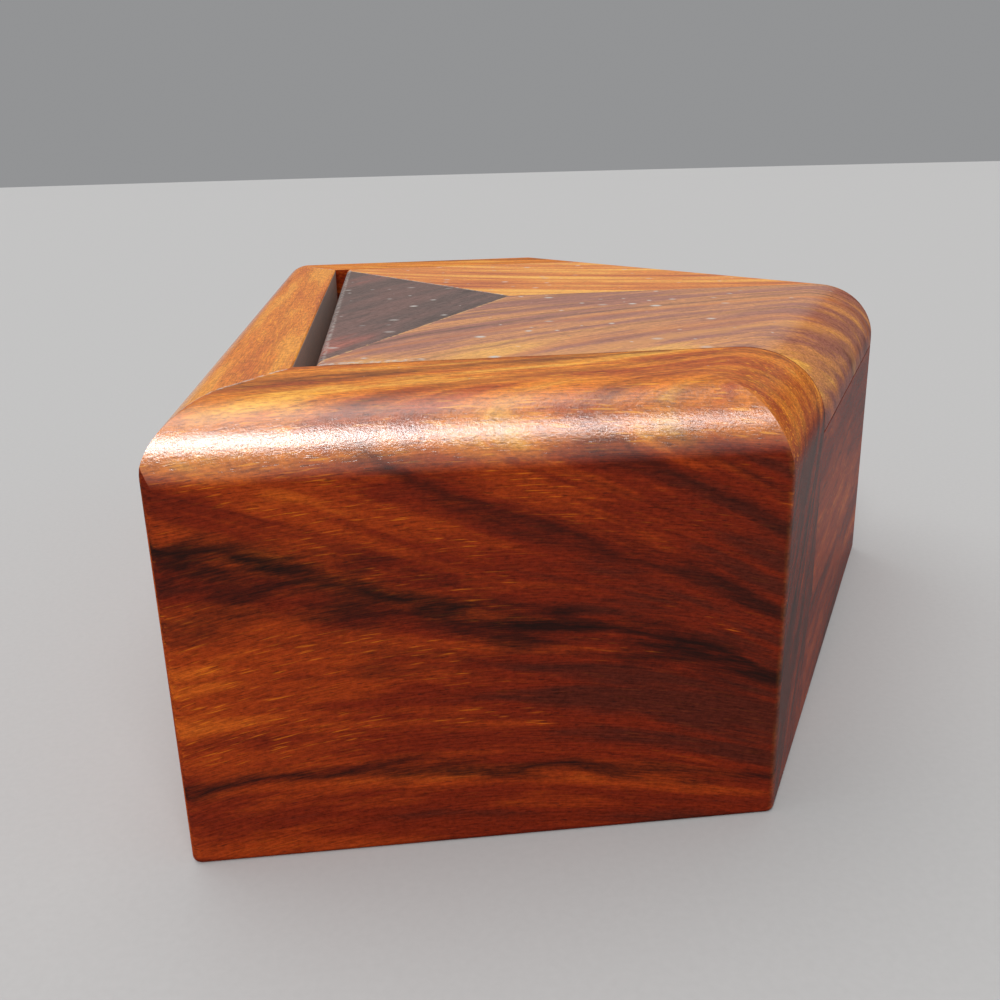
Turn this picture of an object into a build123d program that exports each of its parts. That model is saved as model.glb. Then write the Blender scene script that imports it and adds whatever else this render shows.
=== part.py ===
from build123d import *
import os
from math import cos, radians, sin, tan

# Hardwood keepsake box with a pointed end. The plan is half of a hexagon with equal angles, cut across
# two opposite sides: a long left wall where the cut is, a near and a far wall square to it, and two
# slant walls that meet in a point.
# X runs from the left wall to the point, Y from the near wall to the far wall, Z up.
# The origin is the centre of the plan's bounding box, on the surface that the box stands on.

# Outline of the box
end_length = 80.0  # outer length of the near wall and of the far wall
slant_length = 111.0  # outer length of each slant wall, with the end of the near or far wall in it
slant_angle = 60.0  # angle between the near wall's line and the slant wall beside it
height = 61.5
top_round = 9.0  # quarter round along the upper edges of the near, far and left sides
slant_round = 12.5  # larger quarter round along the two upper slant edges
corner_round = 1.5  # eased upright corners
foot_round = 0.8  # eased lower outer edges

# Walls
end_wall = 26.0  # near and far walls, which run out to the slant faces and carry the pivots
left_wall_thickness = 16.5
slant_wall = 16.5

# Bottom panel, held all round in a groove of the walls
bottom_lift = 3.0  # underside of the panel above the standing surface
bottom_thickness = 6.0
groove_depth = 6.0
groove_clearance = 0.2

# Lid
lid_thickness = 13.5
lid_slot = 3.0  # open slot between the left wall and the lid, in which the lid's end swings
lid_side_gap = 0.3
lid_seat_gap = 0.25  # between the lid and the tops of the slant walls
triangle_reach = 36.0  # from the lid's left edge to the tip of the dark triangle
triangle_inset = 2.0  # of the triangle's base corners from the lid's near and far edges
wall_arris = 0.4  # eased edge of the left wall along the slot
lid_nose_round = 1.2  # rounded edge of the lid along the slot, where a finger presses it down

# Pivot pins, hidden in the end walls and in the lid's edges
pin_diameter = 4.0
swing_clearance = 0.5  # between the lid's left edge and the left wall as the edge swings past
pin_in_wall = 12.0
pin_in_lid = 12.0
pin_wall_clearance = 0.01
pin_lid_clearance = 0.05
hole_end_room = 0.3  # left free at the blind end of each pin hole

# Places worked out from the sizes
depth = 2 * slant_length * sin(radians(slant_angle))
width = end_length + slant_length * cos(radians(slant_angle))
left = -width / 2
point = width / 2
near = -depth / 2
shoulder = left + end_length
cavity_near = near + end_wall
cavity_left = left + left_wall_thickness
lid_left = cavity_left + lid_slot
lid_near = cavity_near + lid_side_gap
lid_underside = height - lid_thickness
seat_level = lid_underside - lid_seat_gap
triangle_tip = lid_left + triangle_reach
pin_drop = lid_thickness / 2
swing_room = lid_slot - swing_clearance
pin_setback = (pin_drop**2 - swing_room**2) / (2 * swing_room)
pin_x = lid_left + pin_setback
pin_z = height - pin_drop
beyond = 10.0  # how far a cutting outline runs past the outside of the box


def slant_x(y, inset=0.0):
    """X of the slant face at a given Y, or of a line that lies the inset inside it."""
    return point - abs(y) / tan(radians(slant_angle)) - inset / sin(radians(slant_angle))


def past_corner(inner, outer):
    """A point on the line from an inner to an outer corner, past the outside of the box."""
    return (2 * outer[0] - inner[0], 2 * outer[1] - inner[1])


inner_corner = (cavity_left, cavity_near)
mitre_near = past_corner(inner_corner, (left, near))
mitre_far = (mitre_near[0], -mitre_near[1])
box_outline = [(left, near), (shoulder, near), (point, 0), (shoulder, -near), (left, -near)]


def sharp_block():
    """The whole box as one block with sharp edges."""
    with BuildPart() as block:
        with BuildSketch():
            with BuildLine():
                Polyline(*box_outline, close=True)
            make_face()
        extrude(amount=height)
    return block.part


def is_slant(edge):
    """Whether an upper edge runs along one of the slant faces."""
    return edge.center().X > shoulder


# The quarter rounds of the square sides and of the slants, each on a block of its own
with BuildPart() as square_sides_rounded:
    add(sharp_block())
    upper_edges = square_sides_rounded.faces().sort_by(Axis.Z)[-1].edges()
    fillet(upper_edges.filter_by(is_slant, reverse=True), radius=top_round)

with BuildPart() as slants_rounded:
    add(sharp_block())
    upper_edges = slants_rounded.faces().sort_by(Axis.Z)[-1].edges()
    fillet(upper_edges.filter_by(is_slant), radius=slant_round)

# Outer shape of the closed box, with its upright and lower edges eased too. The rounds of two sides
# meet in a sharp ridge, as a router leaves them.
with BuildPart() as outer_block:
    add(sharp_block())
    fillet(outer_block.edges().filter_by(Axis.Z), radius=corner_round)
    fillet(outer_block.faces().sort_by(Axis.Z)[0].edges(), radius=foot_round)
    add(square_sides_rounded.part, mode=Mode.INTERSECT)
    add(slants_rounded.part, mode=Mode.INTERSECT)


def cut_blank(points, low, high):
    """The part of the outer shape that stands over a plan outline, between two heights."""
    with BuildPart() as blank:
        with BuildSketch(Plane.XY.offset(low)):
            with BuildLine():
                Polyline(*points, close=True)
            make_face()
        extrude(amount=high - low)
        add(outer_block.part, mode=Mode.INTERSECT)
    return blank.part


def cavity_outline(grow):
    """Outline of the hollow between the walls, grown into the walls on every side."""
    y = cavity_near - grow
    x = cavity_left - grow
    inset = slant_wall - grow
    return [(x, y), (slant_x(y, inset), y), (slant_x(0, inset), 0), (slant_x(y, inset), -y), (x, -y)]


# Space of the groove that holds the bottom panel
with BuildPart() as groove_space:
    with BuildSketch(Plane.XY.offset(bottom_lift)):
        with BuildLine():
            Polyline(*cavity_outline(groove_depth), close=True)
        make_face()
    extrude(amount=bottom_thickness + groove_clearance)

# Plan outlines of the walls, open to the outside, where the outer shape ends them
near_outline = [inner_corner, mitre_near, (point + beyond, mitre_near[1]), (point + beyond, cavity_near)]
left_outline = [inner_corner, (cavity_left, -cavity_near), mitre_far, mitre_near]
slant_outline = [
    (slant_x(cavity_near, slant_wall), cavity_near),
    (point + beyond, cavity_near),
    (point + beyond, 0),
    (slant_x(0, slant_wall), 0),
]

# Near wall, mitred to the left wall and cut off flush with the slant face
near_blank = cut_blank(near_outline, 0, height)
with BuildPart() as near_wall:
    add(near_blank)
    add(groove_space.part, mode=Mode.SUBTRACT)
    with BuildSketch(Plane(origin=(pin_x, cavity_near, pin_z), z_dir=(0, -1, 0))):
        Circle(pin_diameter / 2 + pin_wall_clearance)
    extrude(amount=pin_in_wall + hole_end_room, mode=Mode.SUBTRACT)

with BuildPart() as far_wall:
    mirror(near_wall.part, about=Plane.XZ)

# Left wall, mitred at both ends, with its upper inner edge eased along the slot
left_blank = cut_blank(left_outline, 0, height)
with BuildPart() as left_wall:
    add(left_blank)
    fillet(left_wall.faces().sort_by(Axis.Z)[-1].edges().sort_by(Axis.X)[-1], radius=wall_arris)
    add(groove_space.part, mode=Mode.SUBTRACT)

# Slant walls, lower than the rest because the lid covers their tops
slant_blank = cut_blank(slant_outline, 0, seat_level)
with BuildPart() as slant_near_wall:
    add(slant_blank)
    add(groove_space.part, mode=Mode.SUBTRACT)

with BuildPart() as slant_far_wall:
    mirror(slant_near_wall.part, about=Plane.XZ)

# Bottom panel
with BuildPart() as bottom_panel:
    with BuildSketch(Plane.XY.offset(bottom_lift + groove_clearance / 2)):
        with BuildLine():
            Polyline(*cavity_outline(groove_depth - groove_clearance), close=True)
        make_face()
    extrude(amount=bottom_thickness)

# Lid, glued up from a dark triangle along the slot and two leaves that meet on the centre line
triangle_corner = (lid_left, lid_near + triangle_inset)
triangle_outline = [triangle_corner, (triangle_tip, 0), (lid_left, -triangle_corner[1])]
leaf_outline = [
    (lid_left, lid_near),
    (point + beyond, lid_near),
    (point + beyond, 0),
    (triangle_tip, 0),
    triangle_corner,
]


def slot_edge(builder):
    """The upper edge of a lid piece that runs along the slot."""
    return builder.edges().filter_by(Axis.Y).group_by(Axis.X)[0].sort_by(Axis.Z)[-1]


triangle_blank = cut_blank(triangle_outline, lid_underside, height)
with BuildPart() as lid_triangle:
    add(triangle_blank)
    fillet(slot_edge(lid_triangle), radius=lid_nose_round)

leaf_blank = cut_blank(leaf_outline, lid_underside, height)
with BuildPart() as lid_near_leaf:
    add(leaf_blank)
    fillet(slot_edge(lid_near_leaf), radius=lid_nose_round)
    with BuildSketch(Plane(origin=(pin_x, lid_near, pin_z), z_dir=(0, 1, 0))):
        Circle(pin_diameter / 2 + pin_lid_clearance)
    extrude(amount=pin_in_lid + hole_end_room, mode=Mode.SUBTRACT)

with BuildPart() as lid_far_leaf:
    mirror(lid_near_leaf.part, about=Plane.XZ)

# Pivot pins
with BuildPart() as near_pivot_pin:
    with BuildSketch(Plane(origin=(pin_x, cavity_near - pin_in_wall, pin_z), z_dir=(0, 1, 0))):
        Circle(pin_diameter / 2)
    extrude(amount=pin_in_wall + lid_side_gap + pin_in_lid)

with BuildPart() as far_pivot_pin:
    mirror(near_pivot_pin.part, about=Plane.XZ)

pieces = {
    "near_wall": near_wall,
    "far_wall": far_wall,
    "left_wall": left_wall,
    "slant_near_wall": slant_near_wall,
    "slant_far_wall": slant_far_wall,
    "bottom_panel": bottom_panel,
    "lid_triangle": lid_triangle,
    "lid_near_leaf": lid_near_leaf,
    "lid_far_leaf": lid_far_leaf,
    "near_pivot_pin": near_pivot_pin,
    "far_pivot_pin": far_pivot_pin,
}

os.makedirs("parts", exist_ok=True)
for name, piece in pieces.items():
    piece.part.label = name
    export_step(piece.part, "parts/" + name + ".step")
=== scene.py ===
from functools import partial
from math import cos, pi, radians, sin, tan

import bpy
from mathutils import Matrix, Vector


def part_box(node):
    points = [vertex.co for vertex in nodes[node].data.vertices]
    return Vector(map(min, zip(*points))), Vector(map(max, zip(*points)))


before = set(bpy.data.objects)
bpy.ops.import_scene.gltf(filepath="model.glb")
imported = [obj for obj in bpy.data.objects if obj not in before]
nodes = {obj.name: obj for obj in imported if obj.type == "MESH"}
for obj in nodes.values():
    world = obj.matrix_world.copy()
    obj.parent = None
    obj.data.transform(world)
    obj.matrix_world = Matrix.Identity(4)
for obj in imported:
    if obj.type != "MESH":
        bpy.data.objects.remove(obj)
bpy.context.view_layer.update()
scene = bpy.context.scene
MM = 0.001

# Places on the box, in millimetres from its near left corner on the floor
corner = Vector((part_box("left_wall")[0].x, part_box("near_wall")[0].y, 0.0))


def from_corner(point):
    """A place in the model, in millimetres from the box's near left corner."""
    return (point - corner) / MM


box_far = from_corner(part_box("far_wall")[1])
LENGTH = box_far.y
TOP = box_far.z
MIDDLE = LENGTH / 2
END_WALL = from_corner(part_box("near_wall")[1]).y
LEFT_WALL = from_corner(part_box("left_wall")[1]).x
LID_LEFT = from_corner(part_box("lid_triangle")[0]).x
TRIANGLE_NEAR = from_corner(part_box("lid_triangle")[0]).y
TIP = from_corner(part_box("lid_triangle")[1]).x
POINT = from_corner(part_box("slant_near_wall")[1]).x
SLANT_ANGLE = radians(60)  # between the near wall's line and the slant wall beside it
SLANT = Vector((cos(SLANT_ANGLE), sin(SLANT_ANGLE), 0.0))
SHOULDER = from_corner(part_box("near_wall")[1]).x - END_WALL / tan(SLANT_ANGLE)
ROUND = 9.0  # of the upper edges of the near, far and left sides
SLANT_ROUND = 12.5  # of the two upper slant edges

# The five sides of the box: a corner that each runs through, the way into the box from it and its round
SIDES = {
    "left": ((0.0, 0.0), (1.0, 0.0), ROUND),
    "near": ((0.0, 0.0), (0.0, 1.0), ROUND),
    "slant_near": ((SHOULDER, 0.0), (-SLANT.y, SLANT.x), SLANT_ROUND),
    "slant_far": ((SHOULDER, LENGTH), (-SLANT.y, -SLANT.x), SLANT_ROUND),
    "far": ((0.0, LENGTH), (0.0, -1.0), ROUND),
}

# Colours of the wood, from its palest stripes to its black veins
PALE = (0.70, 0.29, 0.070)
GOLD = (0.60, 0.17, 0.025)
AMBER = (0.53, 0.125, 0.016)
ORANGE = (0.46, 0.082, 0.008)
RUST = (0.38, 0.058, 0.007)
RED_BROWN = (0.29, 0.035, 0.005)
DEEP = (0.165, 0.015, 0.004)
UMBER = (0.08, 0.012, 0.006)
PLUM = (0.24, 0.054, 0.036)
VEIN = (0.014, 0.005, 0.004)
FLECK = (0.70, 0.165, 0.010)
PAINTED_TOP_LIGHT = (1.43, 2.35, 2.30)  # painted light from above and painted sheen: factors that raise the red, green and blue of the top
WORN = (0.62, 0.20, 0.045)
GLUE = (0.74, 0.42, 0.16)
# Pale dust, also the colour of the film on upward faces that is partly painted sheen
DUST_AND_SHEEN = (0.62, 0.58, 0.53)

# Sets of tones, from the darkest growth to the palest
RED = (UMBER, DEEP, RED_BROWN, ORANGE, GOLD)
RAIL = (DEEP, RED_BROWN, RUST, ORANGE, AMBER)
WARM = (DEEP, RED_BROWN, ORANGE, GOLD, PALE)
LEAF = (UMBER, (0.15, 0.028, 0.018), PLUM, (0.40, 0.098, 0.034), (0.54, 0.160, 0.032))
NIGHT = ((0.07, 0.046, 0.041), (0.12, 0.074, 0.066), (0.17, 0.092, 0.080), (0.28, 0.104, 0.082),
         (0.38, 0.125, 0.088))
DARKEST_TONE = 0.32  # noise value that gets the first colour of a set
TONE_STEP = 0.12  # from each colour of a set to the next


class Shader:
    """A new material, with short calls for the nodes in it."""

    def __init__(self, name):
        self.material = bpy.data.materials.new(name)
        self.material.use_nodes = True
        self.nodes = self.material.node_tree.nodes
        self.links = self.material.node_tree.links
        self.surface = self.nodes["Principled BSDF"]

    def put(self, socket, value):
        """Links a socket to another node's output, or sets it to a plain value."""
        if isinstance(value, bpy.types.NodeSocket):
            self.links.new(value, socket)
        else:
            socket.default_value = value

    def set(self, name, value):
        """Sets or links a socket of the surface shader."""
        self.put(self.surface.inputs[name], value)

    def node(self, kind, **settings):
        made = self.nodes.new(kind)
        for name, value in settings.items():
            setattr(made, name, value)
        return made

    def math(self, operation, a, b=0.0):
        made = self.node("ShaderNodeMath", operation=operation)
        self.put(made.inputs[0], a)
        self.put(made.inputs[1], b)
        return made.outputs[0]

    def add(self, a, b):
        return self.math("ADD", a, b)

    def sub(self, a, b):
        return self.math("SUBTRACT", a, b)

    def mul(self, a, b):
        return self.math("MULTIPLY", a, b)

    def away(self, value, middle):
        """How far a value is from the middle, either way."""
        return self.math("ABSOLUTE", self.sub(value, middle))

    def vector(self, operation, a, b):
        made = self.node("ShaderNodeVectorMath", operation=operation)
        self.put(made.inputs[0], a)
        self.put(made.inputs[1], b)
        return made.outputs["Value" if operation in ("DOT_PRODUCT", "DISTANCE") else "Vector"]

    def combine(self, x, y, z):
        made = self.node("ShaderNodeCombineXYZ")
        for socket, value in zip(made.inputs, (x, y, z)):
            self.put(socket, value)
        return made.outputs[0]

    def split(self, vector):
        made = self.node("ShaderNodeSeparateXYZ")
        self.put(made.inputs[0], vector)
        return made.outputs

    def noise(self, place, scale=1.0, detail=2.0, roughness=0.5):
        made = self.node("ShaderNodeTexNoise", noise_dimensions="3D")
        self.put(made.inputs["Vector"], place)
        made.inputs["Scale"].default_value = scale
        made.inputs["Detail"].default_value = detail
        made.inputs["Roughness"].default_value = roughness
        return made.outputs["Fac"]

    def step(self, value, low, high, to_low=0.0, to_high=1.0, shape="SMOOTHSTEP"):
        """A step from to_low to to_high as the value goes from low to high, smooth unless the shape is
        LINEAR."""
        made = self.node("ShaderNodeMapRange", interpolation_type=shape)
        settings = {"Value": value, "From Min": low, "From Max": high, "To Min": to_low, "To Max": to_high}
        for name, number in settings.items():
            self.put(made.inputs[name], number)
        return made.outputs[0]

    def mix(self, factor, a, b, blend="MIX"):
        """Mixes two colours, each an output or its red, green and blue."""
        made = self.node("ShaderNodeMix", data_type="RGBA", blend_type=blend)
        self.put(made.inputs["Factor"], factor)
        colour_inputs = [socket for socket in made.inputs if socket.type == "RGBA"]
        for socket, value in zip(colour_inputs, (a, b)):
            self.put(socket, value if isinstance(value, bpy.types.NodeSocket) else (*value, 1.0))
        colour_outputs = [socket for socket in made.outputs if socket.type == "RGBA"]
        return colour_outputs[0]

    def ramp(self, value, tones):
        """The colour of a set of tones that a noise value stands for."""
        made = self.node("ShaderNodeValToRGB")
        made.color_ramp.interpolation = "EASE"
        stops = made.color_ramp.elements
        while len(stops) < len(tones):
            stops.new(1.0)
        for i, (stop, tint) in enumerate(zip(stops, tones)):
            stop.position = DARKEST_TONE + TONE_STEP * i
            stop.color = (*tint, 1.0)
        self.put(made.inputs[0], value)
        return made.outputs[0]

    def bump(self, height, distance, strength=1.0, normal=None, invert=False):
        made = self.node("ShaderNodeBump", invert=invert)
        made.inputs["Strength"].default_value = strength
        made.inputs["Distance"].default_value = distance
        self.put(made.inputs["Height"], height)
        if normal is not None:
            self.put(made.inputs["Normal"], normal)
        return made.outputs[0]

    def place(self):
        """The rest place of the point being shaded, in millimetres from the box's near left corner."""
        coordinates = self.node("ShaderNodeTexCoord").outputs["Object"]
        return self.vector("MULTIPLY", self.vector("SUBTRACT", coordinates, tuple(corner)), (1 / MM,) * 3)

    def facing(self):
        """How far the surface faces right (X), away from the near side (Y) and up (Z), at rest."""
        return self.split(self.node("ShaderNodeTexCoord").outputs["Normal"])


# Growth rings of the near wall as they cross its near face: each one's count, its height at the wall's
# left end in millimetres, its slope there, its bend and how far it swells towards the right end
RINGS = (
    (-10.0, -10.0, 0.05, 0.0015, 0.0),
    (11.0, 11.0, 0.075, 0.0018, 0.0),
    (22.0, 22.0, 0.10, 0.0026, 1.0),
    (34.5, 45.0, -0.30, 0.0, 2.8),
    (49.0, 65.5, -0.40, 0.0006, 0.6),
    (82.0, 100.0, -0.44, 0.0003, 0.0),
)
RING_RISE = 1.33  # how far a ring rises for each millimetre into the wall
SWELL_BEGINS, SWELL_FULL, SWELL_FADES, SWELL_GONE = 38.0, 62.0, 64.0, 82.0  # from the wall's left end

# The fibres of the near wall run in a low arch that flattens with height
FIBRE_SLOPE = 0.30  # at the wall's left end
FIBRE_BEND = 0.0038
ARCH_FULL, ARCH_FLAT = 30.0, 60.0  # heights between which it flattens
FLAT_SHARE = 0.35  # of the arch that is left at the top


def near_wall_grain(shader):
    """Millimetres along the grain, the ring's count, millimetres across the fibres and into the wood."""
    x, y, z = shader.split(shader.place())
    height = shader.sub(z, shader.mul(y, RING_RISE))
    square = shader.mul(x, x)
    swelling = shader.mul(shader.step(x, SWELL_BEGINS, SWELL_FULL),
                          shader.step(x, SWELL_FADES, SWELL_GONE, 1.0, 0.0))
    lines = []
    for count, start, slope, bend, swell in RINGS:
        line = shader.sub(shader.add(shader.mul(x, slope), start), shader.mul(square, bend))
        lines.append((count, shader.add(line, shader.mul(swelling, swell))))
    level = lines[0][0]
    for (low, below), (high, above) in zip(lines, lines[1:]):
        level = shader.add(level, shader.step(height, below, above, 0.0, high - low, "LINEAR"))
    arch = shader.sub(shader.mul(x, FIBRE_SLOPE), shader.mul(square, FIBRE_BEND))
    flattening = shader.step(z, ARCH_FULL, ARCH_FLAT, 1.0, FLAT_SHARE)
    return x, level, shader.sub(z, shader.mul(arch, flattening)), y


def straight_grain(shader, along, rings):
    """Millimetres along the grain, across the rings, across the fibres and across both, for a
    straight-grained piece."""
    along, rings = Vector(along).normalized(), Vector(rings).normalized()
    place = shader.place()
    s, v, w = [shader.vector("DOT_PRODUCT", place, tuple(d)) for d in (along, rings, along.cross(rings))]
    return s, v, v, w


# The grain of the lid's leaves sweeps round upright lines this far right of the left side, and this far
# out from the near and far sides
SWEEP_RIGHT = 145.0
SWEEP_OUT = 103.0
SWEEP_RADIUS = 160.0  # of the arc whose length counts as the distance along the grain


def swept_grain(shader, centre_y):
    """The same for a leaf of the lid, whose rings lean towards that line by as much as they rise."""
    x, y, z = shader.split(shader.place())
    dx = shader.sub(x, SWEEP_RIGHT)
    dy = shader.sub(y, centre_y)
    radius = shader.math("SQRT", shader.add(shader.mul(dx, dx), shader.mul(dy, dy)))
    angle = shader.math("ARCTAN2", dy, dx)
    level = shader.add(radius, z)
    return shader.mul(angle, SWEEP_RADIUS), level, level, z


def draw_lines(shader, colour, rings, ragged, shown, lines):
    """Smoky lines along the grain, each with its place across the rings, its half width, its strength and
    its colour. They stray by ragged half widths, and shown is how much of them shows."""
    for level, width, strength, tint in lines:
        distance = shader.math("ABSOLUTE", shader.add(shader.sub(rings, level), shader.mul(ragged, width)))
        near = shader.step(distance, -0.4 * width, 1.7 * width, 1.0, 0.0)
        colour = shader.mix(shader.mul(shader.mul(near, shown), strength), colour, tint)
    return colour


def draw_seams(shader, colour, seams):
    """Glue lines and the dust in them, seen from above: two ends, a half width, a strength and a colour."""
    x, y = shader.split(shader.place())[:2]
    up = shader.facing()["Z"]
    patchy = shader.step(shader.noise(shader.place(), scale=1.1, detail=2.0, roughness=0.6), 0.38, 0.66)
    shown = shader.mul(patchy, shader.step(up, 0.3, 0.7))
    for start, end, width, strength, tint in seams:
        run = Vector((end[0] - start[0], end[1] - start[1]))
        half = run.length / 2
        run.normalize()
        dx = shader.sub(x, start[0])
        dy = shader.sub(y, start[1])
        beside = shader.math("ABSOLUTE", shader.sub(shader.mul(dx, run.y), shader.mul(dy, run.x)))
        along = shader.add(shader.mul(dx, run.x), shader.mul(dy, run.y))
        near = shader.mul(shader.step(beside, 0.4 * width, width, strength, 0.0),
                          shader.step(shader.away(along, half), half - 1.0, half, 1.0, 0.0))
        colour = shader.mix(shader.mul(near, shown), colour, tint)
    return colour


WEAR_REACH = 0.75  # how far the wear on a ridge reaches, in millimetres
WEAR_STRENGTH = 0.32


def ridge_wear(shader, sides):
    """1 along the ridges and corners where each side in a row of sides meets the next, 0 a little way
    off."""
    x, y, z = shader.split(shader.place())
    depths = []
    for name in sides:
        through, inward, radius = SIDES[name]
        depth = shader.add(shader.mul(shader.sub(x, through[0]), inward[0]),
                           shader.mul(shader.sub(y, through[1]), inward[1]))
        rise = shader.math("MAXIMUM", shader.sub(z, TOP - radius), 0.0)
        fallen = shader.math("SQRT", shader.sub(radius**2, shader.mul(rise, rise)))
        depths.append(shader.sub(depth, shader.sub(radius, fallen)))
    scuffed = shader.noise(shader.place(), scale=0.35, detail=4.0, roughness=0.75)
    wear = 0.0
    for one, other in zip(depths, depths[1:]):
        wear = shader.add(wear, shader.step(shader.add(one, other), 0.10, WEAR_REACH, 1.0, 0.0))
    return shader.mul(wear, shader.step(scuffed, 0.38, 0.66, 0.10, 1.0))


DUST_CELLS = 0.22  # cells for each millimetre, with at most one speck in a cell
SMALLEST_SPECK = 0.04  # its radius as a share of a cell
SLOT_DUST = 0.60
SLOT_CLEAN, SLOT_DUSTY = 16.0, 6.0  # depths between which the dust in the slot beside the lid thickens


def draw_dust_and_sheen(shader, colour, strength, dust_and_sheen_film, largest):
    """Specks of dust on the upward faces, a thin pale film on them that is partly dust and partly painted
    sheen, and dust in the slot. largest is the radius of the largest speck as a share of a cell."""
    cell = shader.node("ShaderNodeTexVoronoi", voronoi_dimensions="2D", feature="F1")
    shader.put(cell.inputs["Vector"], shader.place())
    cell.inputs["Scale"].default_value = DUST_CELLS
    picked, size, tone = shader.split(cell.outputs["Color"])
    radius = shader.step(shader.mul(size, size), 0.0, 1.0, SMALLEST_SPECK, largest, "LINEAR")
    rough = shader.mul(shader.noise(shader.place(), scale=2.5), 0.08)
    distance = shader.add(cell.outputs["Distance"], rough)
    speck = shader.step(distance, shader.mul(radius, 0.3), radius, 1.0, 0.0)
    shown = shader.mul(shader.step(picked, 0.62, 0.67), shader.step(tone, 0.0, 1.0, 0.4, 1.0))
    # The pale film on the upward faces is partly dust and partly painted sheen
    upward_cover = shader.mul(shader.step(shader.facing()["Z"], 0.88, 0.99), strength)
    dust_and_sheen_cover = shader.mul(shader.add(shader.mul(speck, shown), dust_and_sheen_film), upward_cover)

    # The slot between the left wall and the lid
    x, y, z = shader.split(shader.place())
    half_width = (LID_LEFT - LEFT_WALL) / 2
    half_length = MIDDLE - END_WALL
    across = shader.step(shader.away(x, LEFT_WALL + half_width), half_width, half_width + 0.1, 1.0, 0.0)
    within = shader.step(shader.away(y, MIDDLE), half_length - 0.4, half_length, 1.0, 0.0)
    upper = shader.step(z, TOP - SLOT_CLEAN, TOP - SLOT_DUSTY)
    slot = shader.mul(shader.mul(across, within), upper)
    return shader.mix(shader.math("MAXIMUM", dust_and_sheen_cover, shader.mul(slot, SLOT_DUST)), colour, DUST_AND_SHEEN)


COAT_IOR = 2.3
SLANT_GLOSS = 0.14  # weight of the coat on the rounds that face right
UPRIGHT_GLOSS = 0.04  # on upright faces
RIGHT_GLOSS = 0.28  # on upright faces that face right


def polish(shader, rounded, flat):
    """The weight of the coat: rounded on the rounds, flat on the top, and less on upright faces."""
    facing = shader.facing()
    right = facing["X"]
    up = facing["Z"]
    upright = shader.step(right, 0.2, 0.7, UPRIGHT_GLOSS, RIGHT_GLOSS)
    rounded = shader.step(right, 0.2, 0.7, rounded, SLANT_GLOSS)
    return shader.step(up, 0.75, 0.98, shader.step(up, 0.02, 0.25, upright, rounded), flat)


def lacquer(shader, gloss, satin, pores, fleck):
    """The coat on the wood, with a faint orange peel and small dips over the pores."""
    shader.set("Coat Weight", 0.10 if satin else polish(shader, *gloss))
    shader.set("Coat Roughness", 0.40 if satin else 0.20)
    shader.set("Coat IOR", COAT_IOR)
    shader.set("Specular IOR Level", 0.25 if satin else 0.0)
    peel = shader.noise(shader.place(), scale=2.2, detail=4.0, roughness=0.7)
    skin = shader.bump(peel, 0.11 * MM, 0.5)
    shader.set("Coat Normal", shader.bump(pores, 0.06 * MM, 0.22, skin, invert=True))
    shader.set("Normal", shader.bump(fleck, 0.05 * MM, 0.4, skin))


SEED_STEP = 137.0  # along the grain, from the wood of one piece to that of the next
FINE_DARK, FINE_LIGHT = (0.16, 0.13, 0.12), (0.88, 0.87, 0.86)  # laid over the colour for its fine grain


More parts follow.
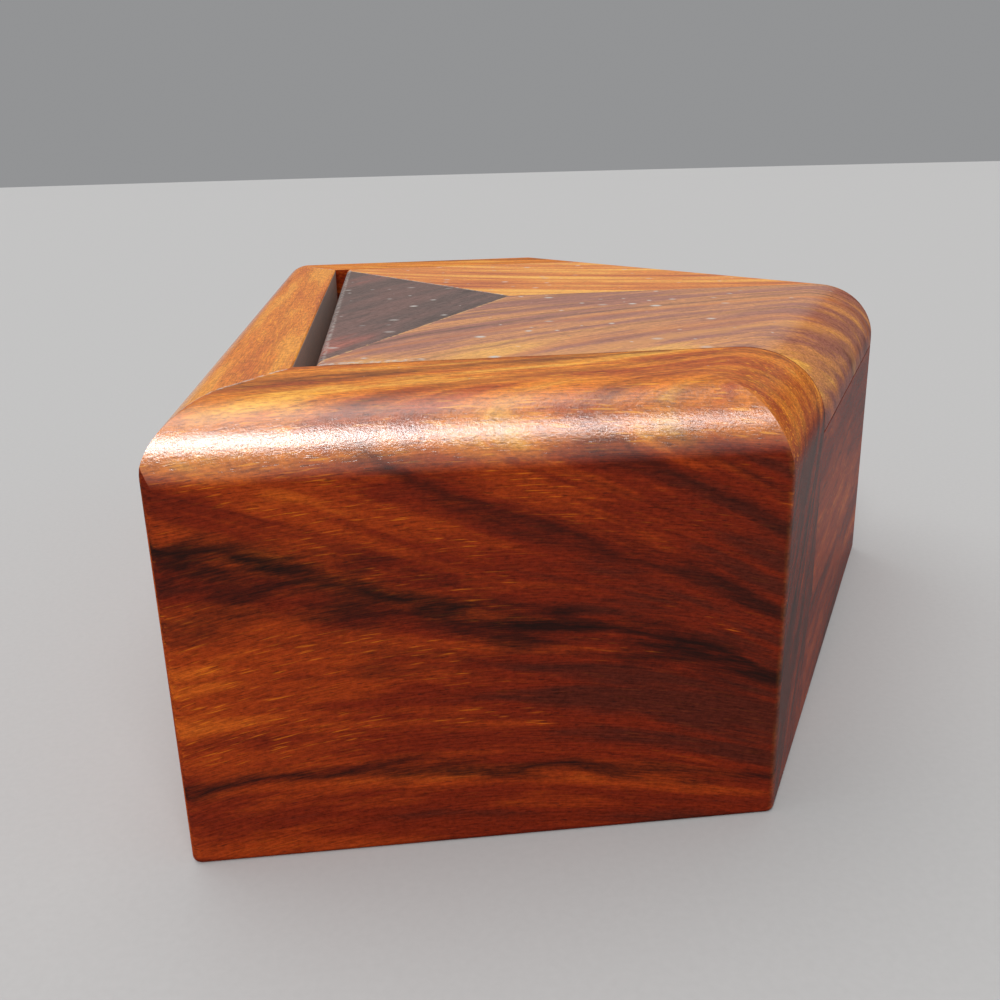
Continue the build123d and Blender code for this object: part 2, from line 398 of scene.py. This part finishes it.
def wood(name, grain, tones, seed, wander=2.5, shift=0.0, glow=(), streak=0.4, flecks=0.6, bare=None,
         lines=(), top_lines=1.0, seams=(), painted_top_light_amount=0.0, sides=(), dust_and_sheen_strength=0.0, dust_and_sheen_film=0.06, speck=0.12,
         gloss=(1.0, 0.21), satin=False):
    """Lacquered tropical hardwood.

    grain is a function that gives the grain distances, and tones are the colours from the darkest growth to
    the palest. The rings wander by up to about wander millimetres, and shift makes the whole piece paler.
    glow lists places that are paler or darker than the rest, each with its radius and how much paler it is.
    streak and flecks are the strengths of the thin dark lines and of the bright figure, which hardly shows
    below the ring given as bare. lines and seams are as draw_lines and draw_seams have them, and top_lines
    is the share of the lines' strength that flat tops show. painted_top_light_amount says how much paler
    the upward faces are drawn, as painted light from above and painted sheen, and sides names the sides of
    the box whose ridges are worn on the piece. dust_and_sheen_strength, dust_and_sheen_film and speck are
    the strength, film and largest speck of draw_dust_and_sheen, whose film is partly dust and partly
    painted sheen. gloss is the weight of the coat on the rounds and on the flat top, and satin asks for a
    thin dull coat instead.
    """
    shader = Shader(name)
    along, rings, fibres, through = grain(shader)
    along = shader.add(along, seed * SEED_STEP)

    def field(level, sizes, offset, **settings):
        """Noise stretched along the grain, with its sizes in millimetres along, across and through it."""
        place = shader.combine(
            shader.mul(shader.add(along, offset), 1 / sizes[0]),
            shader.mul(level, 1 / sizes[1]),
            shader.mul(through, 1 / sizes[2]),
        )
        return shader.noise(place, **settings)

    # The rings wander slowly
    wandering = shader.sub(field(rings, (38, 14, 24), offset=0.0), 0.5)
    rings = shader.add(rings, shader.mul(wandering, 2 * wander))

    # Broad bands of tone with soft edges
    bands = field(rings, (90, 6.5, 16), offset=5.0, detail=4.0, roughness=0.6)
    cloud = field(fibres, (16, 3.0, 5.0), offset=31.0, detail=3.0, roughness=0.6)
    tone = shader.add(shader.add(shader.mul(bands, 0.75), shader.mul(cloud, 0.25)), shift)
    for centre, radius, amount in glow:
        away = shader.vector("DISTANCE", shader.place(), centre)
        tone = shader.add(tone, shader.step(away, 0.0, radius, amount, 0.0))
    up = shader.facing()["Z"]
    # Painted light from above and painted sheen: the upward faces are drawn paler in tone
    painted_top_light_mask = shader.step(up, -0.05, 0.40)
    tone = shader.add(tone, shader.mul(painted_top_light_mask, painted_top_light_amount))
    colour = shader.ramp(tone, tones)

    # Thin dark lines along the rings, the finest fibres, and fine dark grains
    thin = field(rings, (60, 0.9, 3.5), offset=23.0, detail=3.0, roughness=0.65)
    colour = shader.mix(shader.mul(shader.step(thin, 0.50, 0.74), streak), colour, VEIN)
    fine = field(fibres, (3.5, 0.22, 0.35), offset=43.0, detail=3.0, roughness=0.65)
    speckled = shader.vector("MULTIPLY", shader.place(), (1.1, 2.2, 2.2))
    grains = shader.noise(speckled, detail=3.0, roughness=0.75)
    light = shader.step(shader.add(shader.mul(fine, 0.5), shader.mul(grains, 0.5)), 0.26, 0.74)
    colour = shader.mix(0.75, colour, shader.mix(light, FINE_DARK, FINE_LIGHT), "OVERLAY")

    # Short bright flecks of figure where the wood is pale, and short dark pores
    fleck = field(fibres, (4.2, 0.30, 0.45), offset=3.0, detail=1.0)
    clustered = shader.sub(field(rings, (24, 5, 9), offset=51.0, detail=2.0), 0.5)
    patch = shader.step(shader.add(tone, shader.mul(clustered, 0.6)), 0.43, 0.62, 0.06, 1.0)
    if bare is not None:
        patch = shader.mul(patch, shader.step(rings, bare, bare + 7.0, 0.12, 1.0))
    figure = shader.mul(shader.step(fleck, 0.60, 0.74), patch)
    colour = shader.mix(shader.mul(figure, flecks), colour, FLECK)
    pores = shader.step(field(fibres, (1.6, 0.26, 0.40), offset=77.0, detail=1.0), 0.26, 0.36, 1.0, 0.0)
    colour = shader.mix(shader.mul(pores, shader.step(up, 0.0, 0.6, 0.5, 0.4)), colour, VEIN)

    # Painted light from above and painted sheen: the upward faces' colour is raised, most in green and blue
    if painted_top_light_amount:
        colour = shader.mix(painted_top_light_mask, colour, shader.mix(1.0, colour, PAINTED_TOP_LIGHT, "MULTIPLY"))
    if lines:
        rough = field(fibres, (6, 1.2, 1.5), offset=61.0, detail=4.0, roughness=0.7)
        slow = field(rings, (14, 4, 8), offset=67.0, detail=1.0)
        ragged = shader.sub(shader.add(shader.mul(rough, 2.5), shader.mul(slow, 4.0)), 3.25)
        gaps = field(fibres, (18, 3, 7), offset=71.0, detail=2.0)
        frayed = shader.step(fine, 0.35, 0.62, 0.12, -0.08)
        broken = shader.add(shader.step(gaps, 0.32, 0.58, 0.55, 1.0), frayed)
        clear = shader.step(shader.away(up, 0.6), 0.05, 0.40, 0.30, 1.0)
        topside = shader.step(up, 0.85, 0.99, 1.0, top_lines)
        shown = shader.mul(shader.mul(broken, clear), topside)
        colour = draw_lines(shader, colour, rings, ragged, shown, lines)
    if sides:
        colour = shader.mix(shader.mul(ridge_wear(shader, sides), WEAR_STRENGTH), colour, WORN)
    if seams:
        colour = draw_seams(shader, colour, seams)
    # Dust specks, and a pale film on the upward faces that is partly dust and partly painted sheen
    if dust_and_sheen_strength:
        colour = draw_dust_and_sheen(shader, colour, dust_and_sheen_strength, dust_and_sheen_film, speck)

    shader.set("Base Color", colour)
    shader.set("Roughness", shader.step(thin, 0.3, 0.8, 0.52, 0.66))
    lacquer(shader, gloss, satin, pores, fleck)
    return shader.material


def brass():
    """Drawn brass rod, dulled, with fine scratches along it."""
    shader = Shader("pin_brass")
    place = shader.place()
    scratches = shader.noise(shader.vector("MULTIPLY", place, (6.0, 0.15, 6.0)), detail=3.0)
    dull = shader.step(shader.noise(place, scale=0.35, detail=2.0), 0.35, 0.7)
    shader.set("Base Color", shader.mix(dull, (0.66, 0.44, 0.16), (0.42, 0.26, 0.09)))
    shader.set("Metallic", 1.0)
    shader.set("Roughness", shader.step(scratches, 0.3, 0.7, 0.22, 0.42))
    shader.set("Normal", shader.bump(scratches, 0.02 * MM, 0.4))
    return shader.material


def dress(node, material):
    """Gives a CAD node its material."""
    for slot in nodes[node].material_slots:
        slot.material = material


# Lines where pieces meet, seen from above, the dirt at the lid's near left corner and the dust on its
# rounded left edge
NOSE = 0.7  # from the lid's left edge to the middle of the dust on it
mitre = (0.0, 0.0), (LEFT_WALL, END_WALL)
far_mitre = (0.0, LENGTH), (LEFT_WALL, LENGTH - END_WALL)
triangle_near = (LID_LEFT, TRIANGLE_NEAR), (TIP, MIDDLE)
triangle_far = (LID_LEFT, LENGTH - TRIANGLE_NEAR), (TIP, MIDDLE)
middle_line = (TIP, MIDDLE), (POINT, MIDDLE)
lid_corner = (LID_LEFT, END_WALL + 1.0), (LID_LEFT + 16.0, END_WALL + 1.6)
lid_nose = (LID_LEFT + NOSE, END_WALL), (LID_LEFT + NOSE, LENGTH - END_WALL)

SLANT_RIDGES = ("slant_near", "slant_far")
LEAF_GLOSS = (0.14, 0.10)

# The wood of each piece
dress("near_wall", wood(
    "near_wall_wood", near_wall_grain, RED, seed=1, wander=0.8, shift=-0.02, streak=0.25, flecks=0.74,
    bare=10.0, painted_top_light_amount=0.21, sides=("left", "near", "slant_near"), dust_and_sheen_strength=0.7, top_lines=0.45,
    lines=(
        (34.0, 4.4, 0.84, VEIN),
        (34.5, 1.8, 1.00, VEIN),
        (49.0, 1.8, 0.72, VEIN),
        (61.5, 1.2, 0.65, VEIN),
        (66.5, 0.9, 0.60, VEIN),
        (11.3, 1.35, 0.95, VEIN),
        (28.0, 0.6, 0.25, VEIN),
    ),
    glow=(
        ((2.0, 0.0, 24.0), 15.0, 0.10),
        ((40.0, 0.0, 0.0), 16.0, -0.05),
        ((84.0, 0.0, 30.0), 52.0, -0.14),
        ((14.0, 0.0, 50.0), 24.0, 0.08),
        ((52.0, 0.0, 32.0), 20.0, -0.05),
    ),
    seams=((*mitre, 0.40, 0.7, DUST_AND_SHEEN),),
))
dress("far_wall", wood(
    "far_wall_wood", partial(straight_grain, along=(1, 0, 0.2), rings=(0.2, 0.9, 0.75)), RED, seed=2,
    painted_top_light_amount=0.18, sides=("left", "far", "slant_far"), dust_and_sheen_strength=0.5,
    lines=(
        (150.0, 1.5, 0.7, VEIN),
        (163.0, 1.2, 0.6, VEIN),
        (185.0, 1.6, 0.7, VEIN),
    ),
    seams=((*far_mitre, 0.4, 0.6, DUST_AND_SHEEN),),
))
dress("left_wall", wood(
    "left_wall_wood", partial(straight_grain, along=(0.02, 1, 0.03), rings=(1, 0, 0.5)), RAIL, seed=3,
    wander=1.2, shift=0.04, streak=0.25, painted_top_light_amount=0.16, sides=("near", "left", "far"), dust_and_sheen_strength=0.6, dust_and_sheen_film=0.12,
    lines=(
        (43.5, 0.8, 0.45, PLUM),
        (24.0, 1.3, 0.7, VEIN),
    ),
    seams=(
        (*mitre, 0.40, 0.7, DUST_AND_SHEEN),
        (*far_mitre, 0.4, 0.6, DUST_AND_SHEEN),
    ),
))
dress("slant_near_wall", wood(
    "slant_near_wall_wood", partial(straight_grain, along=SLANT, rings=(0.52, -0.30, 0.8)), RED, seed=4,
    sides=SLANT_RIDGES,
))
dress("slant_far_wall", wood(
    "slant_far_wall_wood", partial(straight_grain, along=(-SLANT.x, SLANT.y, 0), rings=(0.52, 0.30, 0.8)),
    RED, seed=5, sides=SLANT_RIDGES,
))
dress("bottom_panel", wood(
    "bottom_wood", partial(straight_grain, along=(0, 1, 0), rings=(1, 0, 0.3)), WARM, seed=6,
    streak=0.3, satin=True,
))
dress("lid_triangle", wood(
    "dark_wood", partial(straight_grain, along=(0.47, 0.88, 0), rings=(0.88, -0.47, 0.4)), NIGHT, seed=7,
    flecks=0.03, dust_and_sheen_strength=0.9, dust_and_sheen_film=0.08, speck=0.36, shift=-0.03, streak=0.2,
    glow=(((26.0, 34.0, TOP), 36.0, 0.20),),
    seams=(
        (*lid_nose, 0.8, 0.45, DUST_AND_SHEEN),
        (*triangle_far, 0.5, 0.6, DUST_AND_SHEEN),
        (*triangle_near, 0.3, 0.6, GLUE),
    ),
))
dress("lid_near_leaf", wood(
    "near_leaf_wood", partial(swept_grain, centre_y=-SWEEP_OUT), LEAF, seed=8, wander=1.5, shift=0.02,
    streak=0.3, flecks=0.3, painted_top_light_amount=0.09, sides=SLANT_RIDGES, dust_and_sheen_strength=0.9, dust_and_sheen_film=0.17, speck=0.36,
    gloss=LEAF_GLOSS,
    glow=(
        ((45.0, 29.0, TOP), 22.0, 0.12),
        ((68.0, 26.0, TOP), 16.0, 0.12),
        ((26.0, 27.0, TOP), 11.0, 0.16),
        ((90.0, 26.0, TOP), 13.0, 0.12),
        ((70.0, 90.0, TOP), 30.0, -0.05),
    ),
    lines=(
        (TOP + 157.0, 2.2, 0.75, PALE),
        (TOP + 164.0, 3.0, 0.35, GOLD),
        (TOP + 183.0, 1.4, 0.6, GOLD),
        (TOP + 187.0, 0.8, 0.6, VEIN),
        (TOP + 191.0, 0.6, 0.5, VEIN),
        (TOP + 171.0, 0.7, 0.35, VEIN),
        (TOP + 200.0, 1.4, 0.3, VEIN),
        (TOP + 212.0, 2.5, 0.4, UMBER),
    ),
    seams=(
        (*lid_nose, 0.8, 0.50, DUST_AND_SHEEN),
        (*triangle_near, 0.55, 0.8, GLUE),
        (*lid_corner, 1.3, 0.65, DUST_AND_SHEEN),
        (*middle_line, 1.6, 0.5, UMBER),
    ),
))
dress("lid_far_leaf", wood(
    "far_leaf_wood", partial(swept_grain, centre_y=LENGTH + SWEEP_OUT), WARM, seed=9, wander=1.5,
    streak=0.25, flecks=0.3, painted_top_light_amount=0.07, sides=SLANT_RIDGES, dust_and_sheen_strength=0.7, dust_and_sheen_film=0.20, speck=0.32,
    gloss=LEAF_GLOSS,
    glow=(((50.0, 118.0, TOP), 18.0, -0.10),),
    seams=(
        (*lid_nose, 0.8, 0.50, DUST_AND_SHEEN),
        (*triangle_far, 0.5, 0.7, DUST_AND_SHEEN),
        (*middle_line, 0.5, 0.6, GLUE),
    ),
))
pin = brass()
dress("near_pivot_pin", pin)
dress("far_pivot_pin", pin)

FLOOR_RADIUS = 9.0  # in metres, as everything that Blender places
FLOOR_SIDES = 128


def paper():
    """Matt pale paper."""
    shader = Shader("paper")
    coordinates = shader.node("ShaderNodeTexCoord").outputs["Object"]
    fibre = shader.noise(coordinates, scale=900.0, detail=3.0)
    shader.set("Base Color", shader.mix(fibre, (0.48, 0.475, 0.47), (0.52, 0.515, 0.51)))
    shader.set("Roughness", 0.9)
    shader.set("Normal", shader.bump(fibre, 0.05 * MM, 0.3))
    return shader.material


def make_floor():
    """A wide round floor."""
    turn = [2 * pi * i / FLOOR_SIDES for i in range(FLOOR_SIDES)]
    rim = [(FLOOR_RADIUS * cos(a), FLOOR_RADIUS * sin(a), 0.0) for a in turn]
    mesh = bpy.data.meshes.new("floor")
    mesh.from_pydata(rim, [], [range(FLOOR_SIDES)])
    mesh.materials.append(paper())
    made = bpy.data.objects.new("floor", mesh)
    scene.collection.objects.link(made)


make_floor()


def far_lamp(name, direction, spread, strength):
    """A far lamp that fills a disc of the sky, spread degrees wide. Strength 1 lights a surface that faces
    it to its own colour."""
    light = bpy.data.lights.new(name, "SUN")
    light.angle = radians(spread)
    light.energy = strength * pi
    made = bpy.data.objects.new(name, light)
    made.rotation_euler = Vector(direction).to_track_quat("Z", "Y").to_euler()
    scene.collection.objects.link(made)


# Light from the near left, from above and from the near right, in a pale room
far_lamp("window_light", (-0.20, -0.62, 0.76), spread=22.0, strength=0.47)
far_lamp("top_light", (-0.25, 0.30, 1.0), spread=60.0, strength=0.37)
far_lamp("side_light", (0.24, -0.69, 0.69), spread=14.0, strength=0.14)

world = bpy.data.worlds.new("room")
world.use_nodes = True
room = world.node_tree.nodes["Background"]
room.inputs["Color"].default_value = (0.97, 0.98, 1.0, 1.0)
room.inputs["Strength"].default_value = 0.30
scene.world = world
scene.view_settings.view_transform = "Standard"

# The camera, placed in millimetres from the box's near left corner and turned as the photograph shows it
CAMERA_FROM_CORNER = Vector((30.72, -117.58, 87.98)) * MM
CAMERA_PITCH, CAMERA_ROLL, CAMERA_YAW = radians(18.348), radians(1.532), radians(5.793)
FOCAL_SHARE = 1.0174  # focal length as a share of the picture's width
camera = bpy.data.cameras.new("camera")
camera.sensor_width = 36.0
camera.lens = FOCAL_SHARE * camera.sensor_width
camera.clip_start = 0.005
eye = bpy.data.objects.new("camera", camera)
eye.matrix_world = (
    Matrix.Translation(corner + CAMERA_FROM_CORNER)
    @ Matrix.Rotation(-CAMERA_YAW, 4, "Z")
    @ Matrix.Rotation(pi / 2 - CAMERA_PITCH, 4, "X")
    @ Matrix.Rotation(-CAMERA_ROLL, 4, "Z")
)
scene.collection.objects.link(eye)
scene.camera = eye
